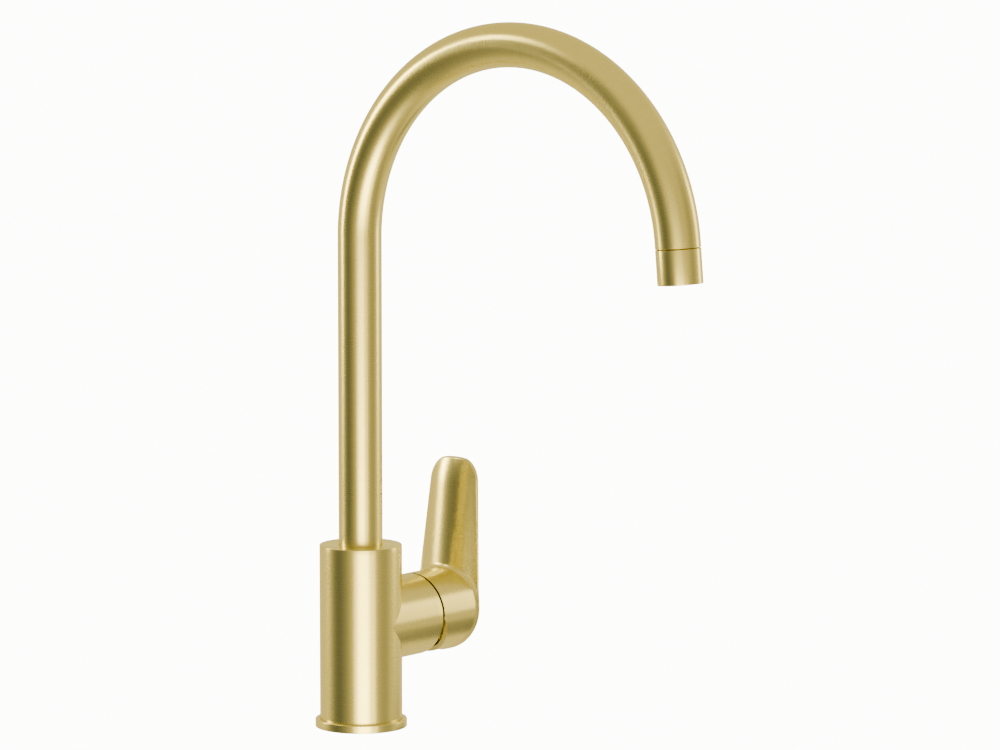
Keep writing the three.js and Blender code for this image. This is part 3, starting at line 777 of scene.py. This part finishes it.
def surface_net(distance, low, high, step):
    """A quad mesh of the surface where distance is zero, its vertices moved onto that surface."""
    axes = [np.arange(a - 2 * step, b + 3 * step, step) for a, b in zip(low, high)]
    shape = tuple(len(a) for a in axes)
    grid = np.stack(np.meshgrid(*axes, indexing="ij"), axis=-1)
    value = distance(grid.reshape(-1, 3)).reshape(shape)
    inside = value < 0
    total = np.zeros(tuple(n - 1 for n in shape) + (3,))
    count = np.zeros(tuple(n - 1 for n in shape))
    quads = []
    crossings = []
    for axis in range(3):
        first = tuple(slice(None, -1) if k == axis else slice(None) for k in range(3))
        second = tuple(slice(1, None) if k == axis else slice(None) for k in range(3))
        crossing = inside[first] != inside[second]
        where = np.argwhere(crossing)
        a, b = value[first][crossing], value[second][crossing]
        point = grid[first][crossing].copy()
        point[:, axis] += a / (a - b) * step
        u, v = [k for k in range(3) if k != axis]
        around = []
        for du, dv in ((0, 0), (-1, 0), (-1, -1), (0, -1)):
            cell = where.copy()
            cell[:, u] += du
            cell[:, v] += dv
            np.add.at(total, tuple(cell.T), point)
            np.add.at(count, tuple(cell.T), 1)
            around.append(cell)
        order = np.stack(around, axis=1)
        flip = (a < 0) if axis != 1 else (a >= 0)
        order[~flip] = order[~flip][:, ::-1]
        crossings.append(order)
    active = count > 0
    number = np.full(count.shape, -1)
    number[active] = np.arange(active.sum())
    points = total[active] / count[active][:, None]
    for order in crossings:
        quads.append(number[order[..., 0], order[..., 1], order[..., 2]])
    for _ in range(4):
        slope = gradient(distance, points)
        points = points - slope * (distance(points) / np.maximum((slope ** 2).sum(1), 1e-6))[:, None]
    return points, np.concatenate(quads)


def lever_uv(points, quads):
    """Brushing runs round the cap, and level across the blade."""
    normal = gradient(lever_distance, points[quads].mean(1), 0.05 * MM)
    s, p, h = (points[quads][..., k] for k in range(3))
    angle = np.arctan2(p, -h)
    middle = angle.mean(1, keepdims=True)
    angle = np.where(angle - middle > math.pi, angle - 2 * math.pi, angle)
    angle = np.where(middle - angle > math.pi, angle + 2 * math.pi, angle)
    facing = np.abs(normal[:, 0]) > 0.6
    round_part = (h.mean(1) < CAP_RADIUS * 0.98) & ~facing
    u = np.where(round_part[:, None], angle * CAP_RADIUS, np.where(facing[:, None], p, s))
    v = np.where(round_part[:, None], s, h)
    return np.stack([u, v], axis=-1).reshape(-1, 2)


def lever():
    low = (CAP_START, lever_low.y, lever_low.z - HUB_HEIGHT)
    high = (lever_high.x, lever_high.y, BLADE_TOP)
    points, quads = surface_net(lever_distance, low, high, 0.6 * MM)
    normals = gradient(lever_distance, points)
    uvs = lever_uv(points, quads)
    places = points * (1, -1, 1) + (0, 0, HUB_HEIGHT)
    piece = new_piece("lever", places, quads[:, ::-1], uvs.reshape(-1, 4, 2)[:, ::-1])
    piece.data.normals_split_custom_set_from_vertices((normals * (1, -1, 1)).tolist())
    material = brushed_metal("brushed_brass_lever", *BRASS_LOOK)
    # paints shade into the lever's colour at the gap behind the cap's rim
    shade_gap(material)
    finish_piece(piece, "lever", "brushed_brass", material, "lever_handle")


# ---- CAD nodes that stay ----
def paint_kept_nodes():
    slots = {entry["node"]: entry["material_slot"] for entry in frame["record"]["subparts"]}
    for name, node in frame["nodes"].items():
        node.data.materials.clear()
        node.data.materials.append(SLOT_MATERIALS[slots[name]])


# ---- stage, light and camera ----
CAMERA_AZIMUTH = math.radians(-49.56)
CAMERA_DISTANCE = 2.9778
CAMERA_HEIGHT = 0.5813
CAMERA_PITCH = math.radians(7.182)
CAMERA_YAW = math.radians(-1.559)
CAMERA_LENS = 186.5
FLOOR_GLOW = 3.6
ALBEDO = 0.82
CEILING_START = 0.38
CEILING_END = 0.68
CEILING_LEVEL = 0.54
LIGHT_TINT = (1.0, 0.86, 0.44)
DARK_TINT = (0.94, 0.94, 0.62)


def stage():
    mesh = bpy.data.meshes.new("floor")
    size = 40
    corners = [(-size, -size, 0), (size, -size, 0), (size, size, 0), (-size, size, 0)]
    mesh.from_pydata(corners, [], [(0, 1, 2, 3)])
    floor = bpy.data.objects.new("floor", mesh)
    bpy.context.scene.collection.objects.link(floor)
    material, nodes, links, shader = new_material("pale_floor")
    shader.inputs["Base Color"].default_value = (0.4, 0.4, 0.4, 1)
    shader.inputs["Roughness"].default_value = 0.9
    shader.inputs["Emission Color"].default_value = (1, 1, 1, 1)
    shader.inputs["Emission Strength"].default_value = FLOOR_GLOW
    mesh.materials.append(material)
    floor.visible_glossy = False
    floor.visible_shadow = False


def softbox(name, bearing, distance, width, low, high, level, tint=LIGHT_TINT):
    """An upright glowing panel that faces the mixer; bearings run to the right from the camera."""
    mesh = bpy.data.meshes.new(name)
    half = width / 2
    ends = ((-half, low), (half, low), (half, high), (-half, high))
    corners = [(x, -distance, z) for x, z in ends]
    mesh.from_pydata(corners, [], [(3, 2, 1, 0)])
    panel = bpy.data.objects.new(name, mesh)
    panel.rotation_euler.z = CAMERA_AZIMUTH + math.radians(bearing)
    bpy.context.scene.collection.objects.link(panel)
    material, nodes, links, shader = new_material(name)
    shader.inputs["Base Color"].default_value = (0, 0, 0, 1)
    shader.inputs["Emission Color"].default_value = (*tint, 1)
    shader.inputs["Emission Strength"].default_value = level
    mesh.materials.append(material)
    panel.visible_camera = False


def camera():
    data = bpy.data.cameras.new("camera")
    data.lens = CAMERA_LENS
    data.sensor_width = 36
    data.clip_end = 100
    holder = bpy.data.objects.new("camera", data)
    bpy.context.scene.collection.objects.link(holder)
    turn = Matrix.Rotation(CAMERA_AZIMUTH, 3, "Z")
    holder.location = turn @ Vector((0, -CAMERA_DISTANCE, CAMERA_HEIGHT))
    level = math.cos(CAMERA_PITCH)
    ahead = Vector((-math.sin(CAMERA_YAW) * level, math.cos(CAMERA_YAW) * level, -math.sin(CAMERA_PITCH)))
    holder.rotation_euler = (turn @ ahead).to_track_quat("-Z", "Y").to_euler()
    bpy.context.scene.camera = holder


def sky():
    """Soft studio surroundings: a broad front light between two darker stretches, under an even ceiling."""
    world = bpy.data.worlds.new("studio")
    bpy.context.scene.world = world
    world.use_nodes = True
    nodes, links = world.node_tree.nodes, world.node_tree.links
    background = nodes["Background"]
    coordinates = nodes.new("ShaderNodeTexCoord")
    turn = nodes.new("ShaderNodeVectorRotate")
    turn.rotation_type = "Z_AXIS"
    turn.inputs["Angle"].default_value = -CAMERA_AZIMUTH
    links.new(coordinates.outputs["Generated"], turn.inputs["Vector"])
    parts = nodes.new("ShaderNodeSeparateXYZ")
    links.new(turn.outputs["Vector"], parts.inputs["Vector"])
    back = nodes.new("ShaderNodeMath")
    back.operation = "MULTIPLY"
    back.inputs[1].default_value = -1
    links.new(parts.outputs["Y"], back.inputs[0])
    angle = nodes.new("ShaderNodeMath")
    angle.operation = "ARCTAN2"
    links.new(parts.outputs["X"], angle.inputs[0])
    links.new(back.outputs["Value"], angle.inputs[1])
    spread = nodes.new("ShaderNodeMapRange")
    spread.inputs["From Min"].default_value = -math.pi
    spread.inputs["From Max"].default_value = math.pi
    links.new(angle.outputs["Value"], spread.inputs["Value"])
    ramp = nodes.new("ShaderNodeValToRGB")
    links.new(spread.outputs["Result"], ramp.inputs["Fac"])
    stops = [(-180, 0.58), (-120, 0.56), (-104, 0.52), (-92, 0.35), (-82, 0.21), (-72, 0.15), (-62, 0.14),
             (-54, 0.18), (-40, 0.26), (-32, 0.38), (-24, 0.46), (48, 0.46), (56, 0.38), (65, 0.33),
             (78, 0.33), (90, 0.50), (112, 0.54), (124, 0.6), (180, 0.6)]
    ramp.color_ramp.interpolation = "LINEAR"
    elements = ramp.color_ramp.elements
    while len(elements) < len(stops):
        elements.new(0.5)
    for element, (degrees, level) in zip(elements, stops):
        element.position = (degrees + 180) / 360
        lit = min(max((level - 0.2) / 0.2, 0), 1)
        tint = (lit * light + (1 - lit) * dark for light, dark in zip(LIGHT_TINT, DARK_TINT))
        element.color = (*(level / 2 * channel for channel in tint), 1)
    overhead = nodes.new("ShaderNodeMapRange")
    overhead.inputs["From Min"].default_value = CEILING_START
    overhead.inputs["From Max"].default_value = CEILING_END
    links.new(parts.outputs["Z"], overhead.inputs["Value"])
    mix = nodes.new("ShaderNodeMix")
    mix.data_type = "RGBA"
    mix.inputs["B"].default_value = (*(CEILING_LEVEL / 2 * channel for channel in LIGHT_TINT), 1)
    links.new(overhead.outputs["Result"], mix.inputs["Factor"])
    links.new(ramp.outputs["Color"], mix.inputs["A"])
    links.new(mix.outputs["Result"], background.inputs["Color"])
    background.inputs["Strength"].default_value = 2 / ALBEDO


def lights():
    softbox("front_core", 7, 1.2, 0.66, -1.0, 0.05, 4.3)
    softbox("front_spread", 11, 1.3, 1.5, -1.0, 0.04, 1.9)
    softbox("front_glow", 8, 1.25, 0.66, 0.05, 0.70, 0.68)
    softbox("left_strip", -103, 1.5, 0.32, 0.15, 1.0, 6.6)
    softbox("left_high", -84, 0.9, 0.25, 0.8, 1.2, 5.0)
    softbox("right_strip", 107, 1.5, 0.46, -0.03, 0.30, 2.2)
    softbox("right_high", 107, 1.5, 0.46, 0.30, 0.86, 2.2)
    softbox("right_flag", 118, 0.45, 0.3, -0.28, -0.08, 0.22, DARK_TINT)


def look():
    settings = bpy.context.scene.view_settings
    settings.view_transform = "AgX"
    settings.look = "AgX - High Contrast"


stage()
camera()
sky()
lights()
look()
barrel_and_hub()
foot_ring()
deck_gasket()
hub_dome()
neck()
outlet_sleeve()
outlet_honeycomb()
rear_grub_screw()
lever_screw_plug()
lever()
paint_kept_nodes()
